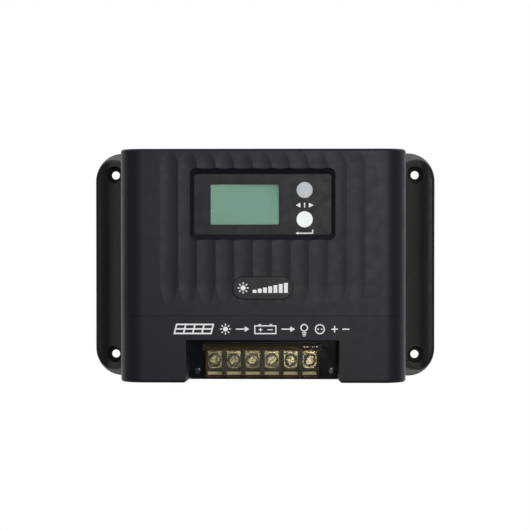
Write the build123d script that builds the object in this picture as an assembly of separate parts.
from build123d import *
import os
from math import cos, pi, radians, sin, tan

# A wall-mounted solar charge controller.
# It is drawn lying on its back: x to the right, y up the wall, z out of the wall.
# write() then stands it up: +X right, +Y into the wall, +Z up, with the origin on the wall
# at the centre of the four mounting holes.  All sizes are in millimetres.

# ---------------------------------------------------------------- body and base
BODY_W = 188.0
BODY_H = 153.0
WALL = 2.5
RIM_R = 1.8                     # rounding of the end edges of base and cover
FLANGE_W = 232.0
FLANGE_H = 152.4                # at the wall; the ends lean in towards the front
FLANGE_T = 5.0
FLANGE_CORNER = 18.0
FLANGE_LEAN = 0.36              # lean of the flange ends, mm per mm of depth
FLANGE_RIM_R = 2.2
FLANGE_EDGE = 2.5               # flat left along the outer edge
SWEEP_R = 10.0                  # bend from that flat into the slope up to the body
SWEEP_TILT = 50.0               # steepness of the slope, degrees
HOLE_DX = 205.0
HOLE_DY = 122.5
HOLE_R = 2.75
HOLE_SINK_R = 6.0               # pocket down to the countersink of each hole
HOLE_SINK_Z = 4.6
PLATE_Z0 = 16.0                 # heat sink plate
PLATE_Z1 = 20.0
SPLIT_Z = 27.0                  # where base and cover meet
FIN_COUNT = 21
FIN_PITCH = 7.5
FIN_T = 2.4
FIN_Z0 = 1.5
CHANNEL_W = 180.0               # width left open for the fins

# ---------------------------------------------------------------- front cover
FRONT_Z = 62.0
SIDE_R = 15.0                   # long rounded edges
CREASE_Y = -32.3                # below the crease the face steps back and leans back a little
CREASE_STEP = 0.4
FOOT_STEP = 1.3
FLUTE_PITCH = 12.2
FLUTE_COUNT = 11
FLUTE_LAND = 0.2                # flat left on each ridge between two flutes
FLUTE_DEPTH = 0.5
FLUTE_LOW = (-26.0, -13.0)      # from nothing to full depth at the lower end
FLUTE_HIGH = (67.0, 75.0)       # and back to nothing at the upper end
BADGE_W = 39.3
BADGE_H = 14.9
BADGE_Y = -14.3
BADGE_Z0 = 61.0
BADGE_Z1 = 63.0
NOTCH_W = 100.2                 # terminal bay, at the front face
NOTCH_TOP = -48.4
NOTCH_DRAFT_X = 0.0576          # lean of each side wall, mm per mm of depth
NOTCH_DRAFT_Y = 0.03
NOTCH_FLARE = 1.5
BAY_FLOOR_Z = 29.0
OPENING_GAP = 0.2               # round the terminal block in the bay's floor

# ---------------------------------------------------------------- display and buttons
RECESS_Y = 40.3
RECESS_W = 89.7                 # recess at its floor
RECESS_H = 39.5
RECESS_SLOPE_X = 0.75           # lean of the recess walls, mm per mm of depth
RECESS_SLOPE_Y = 0.98
RECESS_R = 2.0
RING_EDGE = 5.0                 # ring behind the recess that carries the panel
PANEL_Z = 58.0
PANEL_T = 2.0
WINDOW_W = 44.6
WINDOW_H = 26.1
WINDOW_X = -11.7
WINDOW_Y = 40.1
GASKET_T = 0.8
LCD_W = 52.0
LCD_H = 33.0
LCD_FRAME_T = 0.4
LCD_TOP = 55.2
LCD_T = 2.2
BUTTON_X = 27.4
BUTTON_YS = {"select": 49.5, "enter": 30.4}
BUTTON_R = 5.35
BUTTON_TOP = 59.3
BUTTON_FLANGE_R = 6.4
BUTTON_FLANGE_T = 1.0
BUTTON_GAP = 0.1
PLUNGER_R = 1.75
PLUNGER_Z = (50.9, 53.6)
SWITCH_SIZE = 6.0
SWITCH_H = 3.6
SWITCH_WELL_Z = 50.2
DISPLAY_BOARD_Z = 47.4
DISPLAY_BOARD_T = 1.6
DISPLAY_BOARD_W = 92.0
DISPLAY_BOARD_H = 42.0
DISPLAY_SCREWS = [(sx * 43.0, RECESS_Y + sy * 17.5) for sx in (-1, 1) for sy in (-1, 1)]

# ---------------------------------------------------------------- terminals
BLOCK_X = -1.0
BLOCK_W = 75.4
BLOCK_Y = (-73.8, -52.4)
WAYS = 6
WAY_PITCH = 12.7
COMPARTMENT_W = 10.2
SCREW_Y = -63.3
SEAT_Z = 30.6                   # underside of the terminal plates
TERMINAL_T = 1.2
LINK_Y = (-71.2, -67.6)         # each plate dips under this strip of plastic
LIP_Y = -73.5                   # and comes out as a sloping lip at the wire entry
LIP_RISE = 0.6
LIP_FALL = 2.2
TERMINAL_W = 9.4
BARRIER_Z = 37.4
REAR_WALL_Y = -56.4
REAR_WALL_Z = 35.6
EAR_T = 1.8
EAR_Y = (-56.6, -52.2)
EAR_Z = (29.4, 39.6)
CLAMP_W = 9.6
CLAMP_H = 11.2
CLAMP_T = 1.2
CLAMP_Z = 31.9
CLAMP_CORNER = 3.0
CLAMP_DISH_R = 4.2              # round dish that the screw head sits in
CLAMP_DISH = 0.45
TERMINAL_SCREW_R = 1.95
TERMINAL_HEAD_R = 3.3
TERMINAL_HEAD_H = 2.2
TERMINAL_HEAD_Z = 32.75
TERMINAL_SCREW_L = 6.0
RUN_GAP = 0.06                  # radial clearance where a shaft turns or slides in a hole
LID_W = 75.0
LID_Y0 = -74.2
LID_Z = (37.8, 39.2)
LID_BORDER = 1.6
LID_BORDER_Z = 39.8
LID_PIN_Y = -54.3
LID_PIN_Z = 38.0
LID_PIN_R = 1.0
LID_BARREL_R = 1.3

# ---------------------------------------------------------------- boards and power stage
BOARD_Z = 24.0
BOARD_T = 1.6
BOARD_TOP = BOARD_Z + BOARD_T
BOARD_W = 181.0
BOARD_H = 146.8
BOARD_EDGE_X = -79.0            # board edge beside the heat spreader
SHEET_T = 0.3
SPREADER_Y = (-30.0, 50.0)
SPREADER_X = (-84.0, -80.0)
SPREADER_FOOT_X = -90.5
SPREADER_FOOT_T = 4.0
SPREADER_Z = 44.0
PAD_T = 0.5
MOSFET_COUNT = 6
MOSFET_PITCH = 12.8
MOSFET_Y0 = -22.0
MOSFET_HOLE_Z = 40.2
COIL_PLACES = [(-48.0, 14.0), (-48.0, -23.0)]
COIL_R = (9.5, 16.5)
COIL_H = 13.0
COIL_TURNS = 20
COIL_WIRE = 1.6
CAPACITOR_PLACES = [(68.0, y) for y in (-24.0, -4.0, 16.0, 36.0)]
CAPACITOR_R = 9.0
CAPACITOR_H = 32.0
FUSE_PLACES = [(34.0, -34.0), (34.0, -22.0)]
FUSE_HOLDER = (21.0, 7.0, 7.0)
FUSE_BODY = (19.0, 5.0, 9.0)
FUSE_SLOT_W = 17.4
FUSE_BLADE = (4.6, 0.9, 5.0)
FUSE_BLADE_X = 6.0
FILM_PLACES = [(-6.0, -24.0), (-6.0, -12.0)]
FILM_SIZE = (18.0, 8.0, 15.0)
SHUNT_PLACE = (12.0, -33.0)
SHUNT_SIZE = (14.0, 4.0, 6.0)
SHUNT_T = 1.0
CONTROLLER_PLACE = (8.0, 52.0)
CONTROLLER_W = 10.0
CONTROLLER_LEADS_W = 12.0
DRIVER_PLACES = [(-70.0, y) for y in (-16.0, 2.0, 20.0, 38.0)]
DRIVER_SIZE = (4.0, 5.0, 1.6)
DIODE_X = (-28.0, -19.5)
DIODE_YS = (-38.0, -30.0, -22.0)
DIODE_R = 2.5
CHIP_CAPACITOR_PLACES = [(x, y) for x in (-20, -12, -4, 20, 28) for y in (44, 49, 54, 59)]
CHIP_CAPACITOR_SIZE = (3.2, 1.6, 1.3)
BUSBAR_W = 5.0
BUSBAR_Y = (-50.4, -44.2)
BUSBAR_T = 1.1
SENSOR_GAP = 4.5
SENSOR_SIZE = (4.0, 3.0, 4.5)
SENSOR_Z = 32.0
SENSOR_LEG = (1.2, 0.5)         # distance from the middle, thickness
HEADER_Y = {"display": 26.0, "main": 8.0}
HEADER_X = 20.0
HEADER_SIZE = (14.0, 5.0, 6.0)
RIBBON_W = 12.0
RIBBON_T = 0.9
RIBBON_BEND = 3.5

# ---------------------------------------------------------------- screws
M3_R = 1.45
M3_HOLE_R = 1.5
M3_HEAD_R = 2.8
M3_HEAD_H = 2.0
SMALL_R = 1.2
SMALL_HOLE_R = 1.25
SMALL_HEAD_R = 2.3
SMALL_HEAD_H = 1.6
COVER_SCREWS = [(sx * 85.5, sy * 68.0) for sx in (-1, 1) for sy in (-1, 1)]
COVER_BOSS_R = 3.75
BOARD_SCREWS = [(x, 68.0) for x in (-60.0, 0.0, 60.0)] + [(x, -40.0) for x in (-62.0, 0.0, 62.0)]
BOARD_BOSS_R = 3.5
BAY_SCREWS = [(-44.5, -70.9), (45.0, -70.9)]
BAY_BOSS_R = 3.4
SPREADER_SCREWS = [(-87.2, -20.0), (-87.2, 40.0)]


# ---------------------------------------------------------------- helpers
def block(x0, x1, y0, y1, z0, z1):
    """A box given by its limits."""
    return Pos((x0 + x1) / 2, (y0 + y1) / 2, (z0 + z1) / 2) * Box(x1 - x0, y1 - y0, z1 - z0)


def block_at(x, y, z, width, height, depth):
    """A box centred on x, y that rises from z."""
    return block(x - width / 2, x + width / 2, y - height / 2, y + height / 2, z, z + depth)


def post(x, y, z0, z1, radius):
    """A round bar along z."""
    return Pos(x, y, (z0 + z1) / 2) * Cylinder(radius, z1 - z0)


def bar_x(x0, x1, y, z, radius):
    """A round bar along x."""
    return Pos((x0 + x1) / 2, y, z) * Rot(0, 90, 0) * Cylinder(radius, x1 - x0)


def slab(x, y, z0, z1, width, height, corner):
    """A flat plate with rounded corners."""
    return Pos(x, y, z0) * extrude(RectangleRounded(width, height, corner), z1 - z0)


def profile_x(points, x0, x1):
    """A prism along x from an outline of (y, z) points."""
    face = make_face(Polyline(*[(0, y, z) for y, z in points], close=True))
    return Pos(x0, 0, 0) * extrude(face, x1 - x0, dir=(1, 0, 0))


def write(name, shape):
    """Stand the piece up on the wall and write it as one STEP file."""
    solids = [solid.rotate(Axis.X, 90) for solid in shape.solids()]
    whole = solids[0] if len(solids) == 1 else Compound(children=solids)
    export_step(whole, f"parts/{name}.step")


def group(pieces):
    """Separate pieces that share one node."""
    return Compound(children=[solid for piece in pieces for solid in piece.solids()])


def pan_screw(radius, head_r, head_h, length):
    """A cross-recess pan head screw on the origin: head above z 0, shank below it."""
    head = Cylinder(head_r, head_h, align=(Align.CENTER, Align.CENTER, Align.MIN))
    head = fillet(head.edges().sort_by(Axis.Z)[-1], head_h * 0.45)
    shank = post(0, 0, -length, 0.1, radius)
    depth = head_h * 0.55
    arms = Box(head_r * 1.15, head_r * 0.24, 2 * depth) + Box(head_r * 0.24, head_r * 1.15, 2 * depth)
    return head + shank - Pos(0, 0, head_h) * arms


def hole_places():
    """Centres of the four wall-mounting holes."""
    return [(sx * HOLE_DX / 2, sy * HOLE_DY / 2) for sx in (-1, 1) for sy in (-1, 1)]


def way_places():
    """x of each terminal."""
    first = BLOCK_X - WAY_PITCH * (WAYS - 1) / 2
    return [first + WAY_PITCH * i for i in range(WAYS)]


def mosfet_places():
    """y of each power transistor."""
    return [MOSFET_Y0 + MOSFET_PITCH * i for i in range(MOSFET_COUNT)]


# ---------------------------------------------------------------- base
def base_section():
    """Outline across the base: two flat edges that bend into the slopes up to the body."""
    outer = FLANGE_W / 2
    tilt = radians(SWEEP_TILT)
    flat_x = outer - FLANGE_EDGE
    bend = [(flat_x - SWEEP_R * sin(a), FLANGE_T + SWEEP_R * (1 - cos(a))) for a in (0, tilt / 2, tilt)]
    slope_x, slope_z = bend[2]
    top_x = slope_x - (SPLIT_Z - slope_z) / tan(tilt)
    edges = [Line((-outer, 0), (outer, 0)), Line((-top_x, SPLIT_Z), (top_x, SPLIT_Z))]
    for side in (-1, 1):
        start, middle, end = [(side * x, z) for x, z in bend]
        edges.append(Line((side * outer, 0), (side * outer, FLANGE_T)))
        edges.append(Line((side * outer, FLANGE_T), start))
        edges.append(ThreePointArc(start, middle, end))
        edges.append(Line(end, (side * top_x, SPLIT_Z)))
    return make_face(edges)


def flange_rim_edges(ears):
    """Edges to round: all round the front of each flange and up the ends of its slope."""
    rim = []
    for edge in ears.edges():
        middle = edge.position_at(0.5)
        upright = abs(edge.tangent_at(0.5).Z) > 0.85
        outside = abs(middle.X) > BODY_W / 2 + 0.01
        if outside and middle.Z > 0.01 and not (upright and middle.Z < FLANGE_T):
            rim.append(edge)
    return rim


def flanges():
    """Both flanges with their slopes; their ends lean in, so each looks like an ear."""
    bar = Pos(0, BODY_H / 2, 0) * Rot(90, 0, 0) * extrude(base_section(), BODY_H)
    outlines = []
    for z in (0, SPLIT_Z):
        height = FLANGE_H - 2 * FLANGE_LEAN * z
        outlines.append(Pos(0, 0, z) * RectangleRounded(FLANGE_W, height, FLANGE_CORNER))
    ears = bar & loft(outlines, ruled=True)
    return fillet(flange_rim_edges(ears), FLANGE_RIM_R)


def wall_hole(x, y):
    """A countersunk hole at the bottom of a round pocket that clears the slope."""
    sink = HOLE_SINK_R - HOLE_R
    cone = Pos(x, y, HOLE_SINK_Z - sink / 2) * Cone(HOLE_R, HOLE_SINK_R, sink)
    return post(x, y, -1, SPLIT_Z, HOLE_R) + cone + post(x, y, HOLE_SINK_Z, SPLIT_Z, HOLE_SINK_R)


def heatsink_base():
    base = flanges() + slab(0, 0, 0, SPLIT_Z, BODY_W, BODY_H, RIM_R)
    inner_x = BODY_W / 2 - WALL
    inner_y = BODY_H / 2 - WALL
    base -= block(-CHANNEL_W / 2, CHANNEL_W / 2, -BODY_H, BODY_H, -1, PLATE_Z0)
    base -= slab(0, 0, PLATE_Z1, SPLIT_Z + 1, 2 * inner_x, 2 * inner_y, 2.0)
    fin_y = BODY_H / 2 - RIM_R
    for i in range(FIN_COUNT):
        x = (i - (FIN_COUNT - 1) / 2) * FIN_PITCH
        base += block(x - FIN_T / 2, x + FIN_T / 2, -fin_y, fin_y, FIN_Z0, PLATE_Z0 + 0.5)
    for x, y in BOARD_SCREWS:
        base += post(x, y, PLATE_Z1 - 0.5, BOARD_Z, BOARD_BOSS_R)
        base -= post(x, y, PLATE_Z0 + 1.5, BOARD_Z + 1, M3_HOLE_R)
    for x, y in BAY_SCREWS:
        base += post(x, y, PLATE_Z1 - 0.5, SPLIT_Z, BAY_BOSS_R)
        base -= post(x, y, PLATE_Z1, SPLIT_Z + 1, SMALL_HOLE_R)
    for x, y in COVER_SCREWS:
        base -= post(x, y, PLATE_Z0 - 1, PLATE_Z1 + 1, M3_HOLE_R + 0.2)
    for x, y in SPREADER_SCREWS:
        base -= post(x, y, PLATE_Z0 + 1, PLATE_Z1 + 1, M3_HOLE_R)
    for x, y in hole_places():
        base -= wall_hole(x, y)
    return base


# ---------------------------------------------------------------- cover
def cover_section(inset, z_top, z_low, y):
    """The cover's arched outline across the body, at height y up the wall."""
    half = BODY_W / 2 - inset
    radius = SIDE_R - inset
    shoulder = z_top - radius
    bend = radius * cos(pi / 4)
    edges = [
        Line((-half, y, z_low), (half, y, z_low)),
        Line((-half + radius, y, z_top), (half - radius, y, z_top)),
    ]
    for side in (-1, 1):
        foot = (side * half, y, z_low)
        start = (side * half, y, shoulder)
        middle = (side * (half - radius + bend), y, shoulder + bend)
        end = (side * (half - radius), y, z_top)
        edges.append(Line(foot, start))
        edges.append(ThreePointArc(start, middle, end))
    return make_face(edges)


def cover_body(inset, z_low):
    """The cover's full shape, or the hollow inside it when inset is the wall thickness."""
    y_end = BODY_H / 2 - inset
    top = FRONT_Z - inset
    upper = loft([cover_section(inset, top, z_low, y) for y in (CREASE_Y, y_end)], ruled=True)
    lower_tops = [(top - FOOT_STEP, -y_end), (top - CREASE_STEP, CREASE_Y)]
    lower = loft([cover_section(inset, z_top, z_low, y) for z_top, y in lower_tops], ruled=True)
    return upper, lower


def end_edges(solid, y_end, z_low):
    """The arched edge of an end face, without its straight foot."""
    return [
        edge
        for edge in solid.edges()
        if abs(edge.position_at(0.5).Y - y_end) < 0.01 and edge.position_at(0.5).Z > z_low + 0.1
    ]


def notch(grow, z_low):
    """The terminal bay as a solid, leaning outwards, grown by a wall thickness."""
    faces = []
    for z in (z_low, FRONT_Z + 2):
        depth = FRONT_Z - z
        half = NOTCH_W / 2 - NOTCH_DRAFT_X * depth + grow
        top = NOTCH_TOP - NOTCH_DRAFT_Y * depth + grow
        flare_y = -BODY_H / 2 + NOTCH_FLARE
        reach = 12.0
        outline = [(-half, top), (half, top), (half, flare_y), (half + reach, flare_y - reach)]
        outline += [(-half - reach, flare_y - reach), (-half, flare_y)]
        faces.append(make_face(Polyline(*[(x, y, z) for x, y in outline], close=True)))
    return loft(faces, ruled=True)


def recess():
    """The display recess with its leaning walls, cut from the front down to the panel."""
    sections = []
    for z in (PANEL_Z - 0.2, FRONT_Z + 1):
        rise = z - PANEL_Z
        width = RECESS_W + 2 * RECESS_SLOPE_X * rise
        height = RECESS_H + 2 * RECESS_SLOPE_Y * rise
        corner = RECESS_R + 0.4 * rise
        sections.append(Pos(0, RECESS_Y, z) * RectangleRounded(width, height, corner))
    return loft(sections, ruled=True)


def flute():
    """One flute's cutter: a long roller with tapered ends, lying along y."""
    half_chord = (FLUTE_PITCH - FLUTE_LAND) / 2
    radius = (half_chord**2 + FLUTE_DEPTH**2) / (2 * FLUTE_DEPTH)
    small = radius - FLUTE_DEPTH
    points = [(0, FLUTE_LOW[0]), (small, FLUTE_LOW[0]), (radius, FLUTE_LOW[1])]
    points += [(radius, FLUTE_HIGH[0]), (small, FLUTE_HIGH[1]), (0, FLUTE_HIGH[1])]
    roller = revolve(make_face(Polyline(*points, close=True)), Axis.Y)
    return Pos(0, 0, FRONT_Z + small) * roller


def front_cover():
    upper, lower = cover_body(0, SPLIT_Z)
    upper = fillet(end_edges(upper, BODY_H / 2, SPLIT_Z), RIM_R)
    lower = fillet(end_edges(lower, -BODY_H / 2, SPLIT_Z), RIM_R)
    cover = upper + lower
    hollow_upper, hollow_lower = cover_body(WALL, SPLIT_Z - 1)
    hollow = hollow_upper + hollow_lower
    hollow -= notch(WALL, SPLIT_Z - 2)
    ring_w = RECESS_W + 2 * RING_EDGE
    ring_h = RECESS_H + 2 * RING_EDGE
    hollow -= block_at(0, RECESS_Y, PANEL_Z, ring_w, ring_h, WALL)
    for x, y in COVER_SCREWS:
        hollow -= post(x, y, SPLIT_Z - 2, FRONT_Z, COVER_BOSS_R)
    cover -= hollow
    cover -= notch(0, SPLIT_Z) - block(-BODY_W, BODY_W, -BODY_H, BODY_H, SPLIT_Z - 1, BAY_FLOOR_Z)
    for x, y in COVER_SCREWS:
        cover += post(x, y, PLATE_Z1, SPLIT_Z + 1, COVER_BOSS_R)
        cover -= post(x, y, PLATE_Z1 - 1, PLATE_Z1 + 16, M3_HOLE_R)
    cover -= recess()
    for i in range(FLUTE_COUNT):
        cover -= Pos((i - (FLUTE_COUNT - 1) / 2) * FLUTE_PITCH, 0, 0) * flute()
    cover -= slab(0, BADGE_Y, BADGE_Z0, FRONT_Z + 1, BADGE_W, BADGE_H, BADGE_H / 2 - 0.2)
    for half_w, limits in ((BLOCK_W / 2, BLOCK_Y), (BLOCK_W / 2 + EAR_T, EAR_Y)):
        reach = half_w + OPENING_GAP
        opening_y = (limits[0] - OPENING_GAP, limits[1] + OPENING_GAP)
        cover -= block(BLOCK_X - reach, BLOCK_X + reach, *opening_y, SPLIT_Z - 5, BAY_FLOOR_Z + 5)
    for x, y in BAY_SCREWS:
        cover -= post(x, y, SPLIT_Z - 1, BAY_FLOOR_Z + 1, SMALL_HOLE_R + 0.15)
    return cover


def badge_plate():
    plate = slab(0, BADGE_Y, BADGE_Z0, BADGE_Z1, BADGE_W, BADGE_H, BADGE_H / 2 - 0.2)
    return fillet(plate.faces().sort_by(Axis.Z)[-1].edges(), 0.5)


# ---------------------------------------------------------------- display
def display_panel():
    width = RECESS_W + 2 * (RING_EDGE - 1)
    height = RECESS_H + 2 * (RING_EDGE - 1)
    back = PANEL_Z - PANEL_T
    board_front = DISPLAY_BOARD_Z + DISPLAY_BOARD_T
    panel = slab(0, RECESS_Y, back, PANEL_Z, width, height, 3.0)
    for x, y in DISPLAY_SCREWS:
        panel += post(x, y, board_front, back + 0.5, 2.4)
        panel -= post(x, y, board_front - 1, back - 0.5, SMALL_HOLE_R)
    panel -= gasket_outline(back - 1, PANEL_Z + 1)
    for y in BUTTON_YS.values():
        panel -= post(BUTTON_X, y, back - 1, PANEL_Z + 1, BUTTON_R + BUTTON_GAP)
    return panel


def gasket_outline(z0, z1):
    """The panel's window opening."""
    width = WINDOW_W + 2 * GASKET_T
    height = WINDOW_H + 2 * GASKET_T
    return slab(WINDOW_X, WINDOW_Y, z0, z1, width, height, 1.6)


def lcd_gasket():
    ring = gasket_outline(LCD_TOP + LCD_FRAME_T, PANEL_Z - 0.1)
    return ring - slab(WINDOW_X, WINDOW_Y, LCD_TOP, PANEL_Z, WINDOW_W, WINDOW_H, 1.0)


def lcd_window():
    pane = slab(WINDOW_X, WINDOW_Y, PANEL_Z - 1.7, PANEL_Z - 0.2, WINDOW_W, WINDOW_H, 1.0)
    return chamfer(pane.faces().sort_by(Axis.Z)[-1].edges(), 0.2)


def lcd_frame():
    skirt = 2 * LCD_FRAME_T
    foot = DISPLAY_BOARD_Z + DISPLAY_BOARD_T
    rise = LCD_TOP + LCD_FRAME_T - foot
    frame = block_at(WINDOW_X, WINDOW_Y, foot, LCD_W + skirt, LCD_H + skirt, rise)
    frame -= block_at(WINDOW_X, WINDOW_Y, foot - 1, LCD_W, LCD_H, LCD_TOP - foot + 1)
    return frame - block_at(WINDOW_X, WINDOW_Y, LCD_TOP - 1, WINDOW_W + 1.7, WINDOW_H + 1.7, 3)


def lcd_glass():
    return block_at(WINDOW_X, WINDOW_Y, LCD_TOP - LCD_T, LCD_W, LCD_H, LCD_T)


def lcd_backlight():
    foot = DISPLAY_BOARD_Z + DISPLAY_BOARD_T
    return block_at(WINDOW_X, WINDOW_Y, foot, LCD_W, LCD_H, LCD_TOP - LCD_T - foot)


def display_board():
    front = DISPLAY_BOARD_Z + DISPLAY_BOARD_T
    board = slab(0, RECESS_Y, DISPLAY_BOARD_Z, front, DISPLAY_BOARD_W, DISPLAY_BOARD_H, 1.5)
    for x, y in DISPLAY_SCREWS:
        board -= post(x, y, DISPLAY_BOARD_Z - 1, front + 1, SMALL_HOLE_R + 0.1)
    return board


def display_controller():
    return block_at(WINDOW_X, RECESS_Y, DISPLAY_BOARD_Z - 1.2, 8, 8, 1.2)


def display_board_screws():
    screw = Rot(180, 0, 0) * pan_screw(SMALL_R, SMALL_HEAD_R, SMALL_HEAD_H, 5.5)
    return group([Pos(x, y, DISPLAY_BOARD_Z) * screw for x, y in DISPLAY_SCREWS])


def button(y):
    """A round cap with a flange that stops it behind the panel and a stem onto the switch."""
    flange_top = PANEL_Z - PANEL_T - BUTTON_GAP
    flange_low = flange_top - BUTTON_FLANGE_T
    cap = post(0, 0, flange_low, BUTTON_TOP, BUTTON_R)
    cap = fillet(cap.edges().sort_by(Axis.Z)[-1], 0.4)
    cap += post(0, 0, flange_low, flange_top, BUTTON_FLANGE_R)
    cap += post(0, 0, PLUNGER_Z[1], flange_low + 0.1, PLUNGER_R + 0.4)
    return Pos(BUTTON_X, y, 0) * cap


def plunger(y):
    return post(BUTTON_X, y, PLUNGER_Z[0], PLUNGER_Z[1], PLUNGER_R)


def tact_switch_bodies():
    foot = DISPLAY_BOARD_Z + DISPLAY_BOARD_T
    housings = []
    for y in BUTTON_YS.values():
        housing = block_at(BUTTON_X, y, foot, SWITCH_SIZE, SWITCH_SIZE, SWITCH_H)
        housings.append(housing - post(BUTTON_X, y, SWITCH_WELL_Z, 60, PLUNGER_R + RUN_GAP))
    return group(housings)


def display_header():
    width, height, depth = HEADER_SIZE
    return block_at(HEADER_X, HEADER_Y["display"], DISPLAY_BOARD_Z - depth, width, height, depth)


def main_header():
    width, height, depth = HEADER_SIZE
    return block_at(HEADER_X, HEADER_Y["main"], BOARD_TOP, width, height, depth)


def ribbon_cable():
    """An S-shaped ribbon from the main board's header up to the display board's."""
    low = BOARD_TOP + HEADER_SIZE[2]
    high = DISPLAY_BOARD_Z - HEADER_SIZE[2]
    middle = (low + high) / 2
    y_low = HEADER_Y["main"]
    y_high = HEADER_Y["display"]
    route = [(0, y_low, low), (0, y_low, middle), (0, y_high, middle), (0, y_high, high)]
    path = FilletPolyline(*route, radius=RIBBON_BEND)
    section = Plane(origin=route[0], z_dir=(0, 0, 1)) * Rectangle(RIBBON_W, RIBBON_T)
    return Pos(HEADER_X, 0, 0) * sweep(section, path=path)


# ---------------------------------------------------------------- main board and power stage
def main_board():
    board = slab(0, 0, BOARD_Z, BOARD_TOP, BOARD_W, BOARD_H, 2.0)
    for x, y in COVER_SCREWS:
        board -= block_at(x * 1.06, y * 1.06, BOARD_Z - 1, 20, 17, 4)
    spreader_y = (SPREADER_Y[0] - 2, SPREADER_Y[1] + 2)
    board -= block(-BOARD_W, BOARD_EDGE_X, *spreader_y, BOARD_Z - 1, BOARD_TOP + 1)
    for x, y in BAY_SCREWS:
        board -= post(x, y, BOARD_Z - 1, BOARD_TOP + 1, BAY_BOSS_R + 0.5)
    for x, y in BOARD_SCREWS:
        board -= post(x, y, BOARD_Z - 1, BOARD_TOP + 1, M3_HOLE_R + 0.1)
    for x in way_places():
        board -= terminal_tail(x)
    for y in mosfet_places():
        board -= mosfet_leads(y)
    return board


def board_screws():
    screw = pan_screw(M3_R, M3_HEAD_R, M3_HEAD_H, 7.5)
    return group([Pos(x, y, BOARD_TOP) * screw for x, y in BOARD_SCREWS])


def insulating_sheet():
    top = PLATE_Z1 + SHEET_T
    sheet = slab(0, 0, PLATE_Z1, top, BOARD_W - 6, BOARD_H - 8, 3.0)
    for x, y in COVER_SCREWS:
        sheet -= block_at(x * 1.06, y * 1.06, PLATE_Z1 - 1, 20, 17, 3)
    for x, y in BOARD_SCREWS:
        sheet -= post(x, y, PLATE_Z1 - 1, top + 1, BOARD_BOSS_R + 0.5)
    for x, y in BAY_SCREWS:
        sheet -= block_at(x, y - 5, PLATE_Z1 - 1, 9, 20, 3)
    return sheet - block(-BOARD_W, SPREADER_X[1] + 1, SPREADER_Y[0] - 1, SPREADER_Y[1] + 1, 19, 22)


def heat_spreader_bar():
    foot_top = PLATE_Z1 + SPREADER_FOOT_T
    bar = block(*SPREADER_X, *SPREADER_Y, PLATE_Z1, SPREADER_Z)
    bar += block(SPREADER_FOOT_X, SPREADER_X[1], *SPREADER_Y, PLATE_Z1, foot_top)
    for x, y in SPREADER_SCREWS:
        bar -= post(x, y, PLATE_Z1 - 1, foot_top + 1, M3_HOLE_R + 0.2)
    for y in mosfet_places():
        bar -= bar_x(SPREADER_X[0] - 1, SPREADER_X[1] + 1, y, MOSFET_HOLE_Z, M3_HOLE_R)
    return bar


def spreader_screws():
    screw = pan_screw(M3_R, 2.6, M3_HEAD_H, 7.0)
    return group([Pos(x, y, PLATE_Z1 + SPREADER_FOOT_T) * screw for x, y in SPREADER_SCREWS])


def thermal_pad():
    face = SPREADER_X[1]
    pad = block(face, face + PAD_T, SPREADER_Y[0] + 1, SPREADER_Y[1] - 1, 27, 43.5)
    for y in mosfet_places():
        pad -= bar_x(face - 1, face + 2, y, MOSFET_HOLE_Z, M3_HOLE_R + 0.2)
    return pad


def mosfet_leads(y):
    """Three flat leads that run down through the board."""
    lead_x = SPREADER_X[1] + PAD_T + 2.5
    leads = [block_at(lead_x, y + dy, BOARD_Z - 1, 0.6, 0.9, 5.4) for dy in (-2.54, 0, 2.54)]
    return leads[0] + leads[1] + leads[2]


def power_mosfets():
    face = SPREADER_X[1] + PAD_T
    pieces = []
    for y in mosfet_places():
        tab = block(face, face + 1.3, y - 5, y + 5, 28, 43.2)
        body = block(face, face + 4.5, y - 5, y + 5, 28, 37)
        body = chamfer(body.edges().filter_by(Axis.Y).group_by(Axis.X)[-1], 0.5)
        hole = bar_x(face - 1, face + 3, y, MOSFET_HOLE_Z, M3_HOLE_R + 0.2)
        pieces.append(body + tab - hole + mosfet_leads(y))
    return group(pieces)


def mosfet_screws():
    screw = Rot(0, 90, 0) * pan_screw(M3_R, M3_HEAD_R, M3_HEAD_H, 5.3)
    face = SPREADER_X[1] + PAD_T + 1.3
    return group([Pos(face, y, MOSFET_HOLE_Z) * screw for y in mosfet_places()])


def inductor_cores():
    low = BOARD_TOP + COIL_WIRE
    high = low + COIL_H
    inner, outer = COIL_R
    cores = [post(x, y, low, high, outer) - post(x, y, low - 1, high + 1, inner) for x, y in COIL_PLACES]
    return group(cores)


def inductor_windings():
    """Each turn is a closed loop of wire round the core."""
    inner, outer = COIL_R
    turn = block(inner - COIL_WIRE, outer + COIL_WIRE, -0.8, 0.8, 0, COIL_H + 2 * COIL_WIRE)
    turn -= block(inner - 0.1, outer, -2, 2, COIL_WIRE, COIL_WIRE + COIL_H)
    turns = []
    for x, y in COIL_PLACES:
        for i in range(COIL_TURNS):
            turns.append(Pos(x, y, BOARD_TOP) * Rot(0, 0, 360 / COIL_TURNS * i) * turn)
    return group(turns)


def bulk_capacitors():
    cans = []
    for x, y in CAPACITOR_PLACES:
        can = post(x, y, BOARD_TOP, BOARD_TOP + CAPACITOR_H, CAPACITOR_R)
        can = fillet(can.edges().sort_by(Axis.Z)[-1], 0.8)
        groove = Pos(x, y, BOARD_TOP + 3) * Torus(CAPACITOR_R + 0.5, 1.0)
        cans.append(can - groove)
    return group(cans)


def film_capacitors():
    bodies = [block_at(x, y, BOARD_TOP, *FILM_SIZE) for x, y in FILM_PLACES]
    return group([fillet(body.edges().group_by(Axis.Z)[-1], 0.6) for body in bodies])


def current_shunt():
    """A strap that stands on the board like a bridge."""
    length, width, height = SHUNT_SIZE
    strap = block_at(*SHUNT_PLACE, BOARD_TOP, *SHUNT_SIZE)
    return strap - block_at(*SHUNT_PLACE, BOARD_TOP - SHUNT_T, length - 2 * SHUNT_T, width + 1, height)


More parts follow.
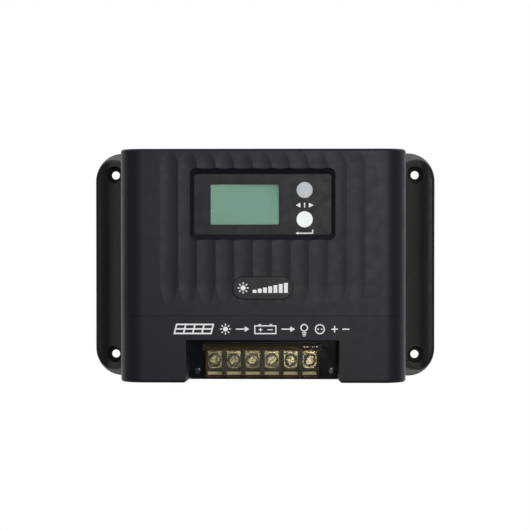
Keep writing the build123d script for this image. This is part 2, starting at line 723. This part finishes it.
def fuse_holders():
    holders = []
    for x, y in FUSE_PLACES:
        holder = block_at(x, y, BOARD_TOP, *FUSE_HOLDER)
        holders.append(holder - block_at(x, y, BOARD_TOP + 2, FUSE_SLOT_W, 1.2, FUSE_HOLDER[2]))
    return group(holders)


def blade_fuses():
    fuses = []
    seat = BOARD_TOP + FUSE_HOLDER[2]
    for x, y in FUSE_PLACES:
        fuse = block_at(x, y, seat, *FUSE_BODY)
        for side in (-1, 1):
            fuse += block_at(x + side * FUSE_BLADE_X, y, seat + 0.4 - FUSE_BLADE[2], *FUSE_BLADE)
        fuses.append(fuse)
    return group(fuses)


def microcontroller():
    """A flat square chip over the thin sheet of its leads."""
    body = block_at(*CONTROLLER_PLACE, BOARD_TOP, CONTROLLER_W, CONTROLLER_W, 1.4)
    return body + block_at(*CONTROLLER_PLACE, BOARD_TOP, CONTROLLER_LEADS_W, CONTROLLER_LEADS_W, 0.4)


def driver_chips():
    return group([block_at(x, y, BOARD_TOP, *DRIVER_SIZE) for x, y in DRIVER_PLACES])


def tvs_diodes():
    return group([bar_x(*DIODE_X, y, BOARD_TOP + DIODE_R + 0.1, DIODE_R) for y in DIODE_YS])


def chip_capacitors():
    return group([block_at(x, y, BOARD_TOP, *CHIP_CAPACITOR_SIZE) for x, y in CHIP_CAPACITOR_PLACES])


def copper_busbars():
    half = BUSBAR_W / 2
    top = BOARD_TOP + BUSBAR_T
    return group([block(x - half, x + half, *BUSBAR_Y, BOARD_TOP, top) for x in way_places()])


def temperature_sensor():
    """A small package on two legs above the end of the heat spreader bar."""
    x = (SPREADER_X[0] + SPREADER_X[1]) / 2
    y = SPREADER_Y[1] + SENSOR_GAP
    reach, leg = SENSOR_LEG
    sensor = block_at(x, y, SENSOR_Z, *SENSOR_SIZE)
    for dx in (-reach, reach):
        sensor += block_at(x + dx, y, BOARD_TOP, leg, leg, SENSOR_Z - BOARD_TOP + 0.6)
    return sensor


# ---------------------------------------------------------------- terminals
def terminal_tail(x):
    """The plate's bent tail that is soldered through the board."""
    return block(x - 2.5, x + 2.5, -58.0, -57.0, BOARD_Z - 1.4, SEAT_Z + 0.2)


def terminal_profile():
    """Outline of a plate seen from the side: flat, then a dip, then the sloping lip."""
    top = SEAT_Z + TERMINAL_T
    link_low, link_high = LINK_Y
    upper = [(-57.0, SEAT_Z), (-57.0, top), (link_high + 0.6, top), (link_high - 0.6, SEAT_Z)]
    lip_top = SEAT_Z + LIP_RISE
    upper += [(link_low + 0.6, SEAT_Z), (link_low, lip_top), (LIP_Y, lip_top - LIP_FALL)]
    low = SEAT_Z - TERMINAL_T
    lower = [(LIP_Y, low - 0.8), (link_low + 0.2, low), (link_high - 1.0, low), (link_high, SEAT_Z)]
    return upper + lower


def compartment(x):
    """The open space of one way: over the plate, over the plastic strip and around the lip."""
    side = COMPARTMENT_W / 2
    link_low, link_high = LINK_Y
    top = BARRIER_Z + 1
    space = block(x - side, x + side, link_high - 0.6, REAR_WALL_Y, SEAT_Z, top)
    space += block(x - side, x + side, link_low - 0.2, link_high, SEAT_Z + TERMINAL_T, top)
    return space + block(x - side, x + side, BLOCK_Y[0] - 1, link_low, SEAT_Z - 2.6, top)


def terminal_ear(side):
    """A cheek at one end of the block that holds the lid's pin."""
    inner = BLOCK_X + side * BLOCK_W / 2
    limits = sorted((inner, inner + side * EAR_T))
    return block(*limits, *EAR_Y, *EAR_Z)


def terminal_block():
    half = BLOCK_W / 2
    left = BLOCK_X - half
    right = BLOCK_X + half
    body = block(left, right, *BLOCK_Y, BOARD_TOP, BARRIER_Z)
    body -= block(left - 1, right + 1, REAR_WALL_Y, BLOCK_Y[1] + 1, REAR_WALL_Z, BARRIER_Z + 1)
    for x in way_places():
        body -= compartment(x)
        body -= profile_x(terminal_profile(), x - TERMINAL_W / 2, x + TERMINAL_W / 2)
        body -= post(x, SCREW_Y, BOARD_TOP + 0.8, SEAT_Z + 1, TERMINAL_SCREW_R + 0.4)
        body -= terminal_tail(x)
    body += terminal_ear(-1) + terminal_ear(1)
    pin = bar_x(left - EAR_T - 1, right + EAR_T + 1, LID_PIN_Y, LID_PIN_Z, LID_PIN_R + RUN_GAP)
    return body - pin


def terminal_plates():
    plates = []
    for x in way_places():
        plate = profile_x(terminal_profile(), x - TERMINAL_W / 2, x + TERMINAL_W / 2) + terminal_tail(x)
        plates.append(plate - post(x, SCREW_Y, SEAT_Z - 1, SEAT_Z + 3, TERMINAL_SCREW_R + RUN_GAP))
    return group(plates)


def clamp_washer(x):
    """A square washer with rounded corners, dished round the screw's head."""
    top = CLAMP_Z + CLAMP_T
    plate = slab(x, SCREW_Y, CLAMP_Z, top, CLAMP_W, CLAMP_H, CLAMP_CORNER)
    plate = fillet(plate.faces().sort_by(Axis.Z)[-1].edges(), 0.35)
    plate -= post(x, SCREW_Y, top - CLAMP_DISH, top + 1, CLAMP_DISH_R)
    return plate - post(x, SCREW_Y, CLAMP_Z - 1, CLAMP_Z + 3, TERMINAL_SCREW_R + RUN_GAP)


def terminal_screw(x, turn):
    """A combination head screw: cross recess and a full slot."""
    screw = pan_screw(TERMINAL_SCREW_R, TERMINAL_HEAD_R, TERMINAL_HEAD_H, TERMINAL_SCREW_L)
    slot = block_at(0, 0, TERMINAL_HEAD_H * 0.62, 2 * TERMINAL_HEAD_R + 1, 0.9, TERMINAL_HEAD_H)
    return Pos(x, SCREW_Y, TERMINAL_HEAD_Z) * Rot(0, 0, turn) * (screw - slot)


def terminal_lid():
    """A hinged transparent cover with a raised border and a pin at each end of its top edge."""
    half = LID_W / 2
    inner = half - LID_BORDER
    lid = block(-half, half, LID_Y0, LID_PIN_Y, LID_Z[0], LID_BORDER_Z)
    lid -= block(-inner, inner, LID_Y0 + LID_BORDER, LID_PIN_Y - LID_BORDER, LID_Z[1], LID_BORDER_Z + 1)
    lid += bar_x(-half, half, LID_PIN_Y, LID_PIN_Z, LID_BARREL_R)
    lid += bar_x(-half - EAR_T, half + EAR_T, LID_PIN_Y, LID_PIN_Z, LID_PIN_R)
    return Pos(BLOCK_X, 0, 0) * lid


def bay_screws():
    screw = pan_screw(SMALL_R, SMALL_HEAD_R, SMALL_HEAD_H, 8.0)
    return group([Pos(x, y, BAY_FLOOR_Z) * screw for x, y in BAY_SCREWS])


def cover_screws():
    screw = Rot(180, 0, 0) * pan_screw(M3_R, M3_HEAD_R, M3_HEAD_H, 18.0)
    return group([Pos(x, y, PLATE_Z0) * screw for x, y in COVER_SCREWS])


# ---------------------------------------------------------------- write every piece
SINGLE_PIECES = [
    heatsink_base, front_cover, badge_plate, display_panel, lcd_gasket, lcd_window, lcd_frame, lcd_glass,
    lcd_backlight, display_board, display_controller, display_board_screws, tact_switch_bodies,
    display_header, main_header, ribbon_cable, main_board, board_screws, insulating_sheet,
    heat_spreader_bar, spreader_screws, thermal_pad, power_mosfets, mosfet_screws, inductor_cores,
    inductor_windings, bulk_capacitors, film_capacitors, current_shunt, fuse_holders, blade_fuses,
    microcontroller, driver_chips, tvs_diodes, chip_capacitors, copper_busbars, temperature_sensor,
    terminal_block, terminal_plates, terminal_lid, bay_screws, cover_screws,
]
SCREW_TURNS = [20.0, 62.0, 8.0, 35.0, 75.0, 48.0]      # how far each terminal screw happens to be turned

os.makedirs("parts", exist_ok=True)
for make in SINGLE_PIECES:
    write(make.__name__, make())
for name, height in BUTTON_YS.items():
    write(f"{name}_button", button(height))
    write(f"{name}_plunger", plunger(height))
for number, (place, angle) in enumerate(zip(way_places(), SCREW_TURNS), start=1):
    write(f"clamp_washer_{number}", clamp_washer(place))
    write(f"terminal_screw_{number}", terminal_screw(place, angle))
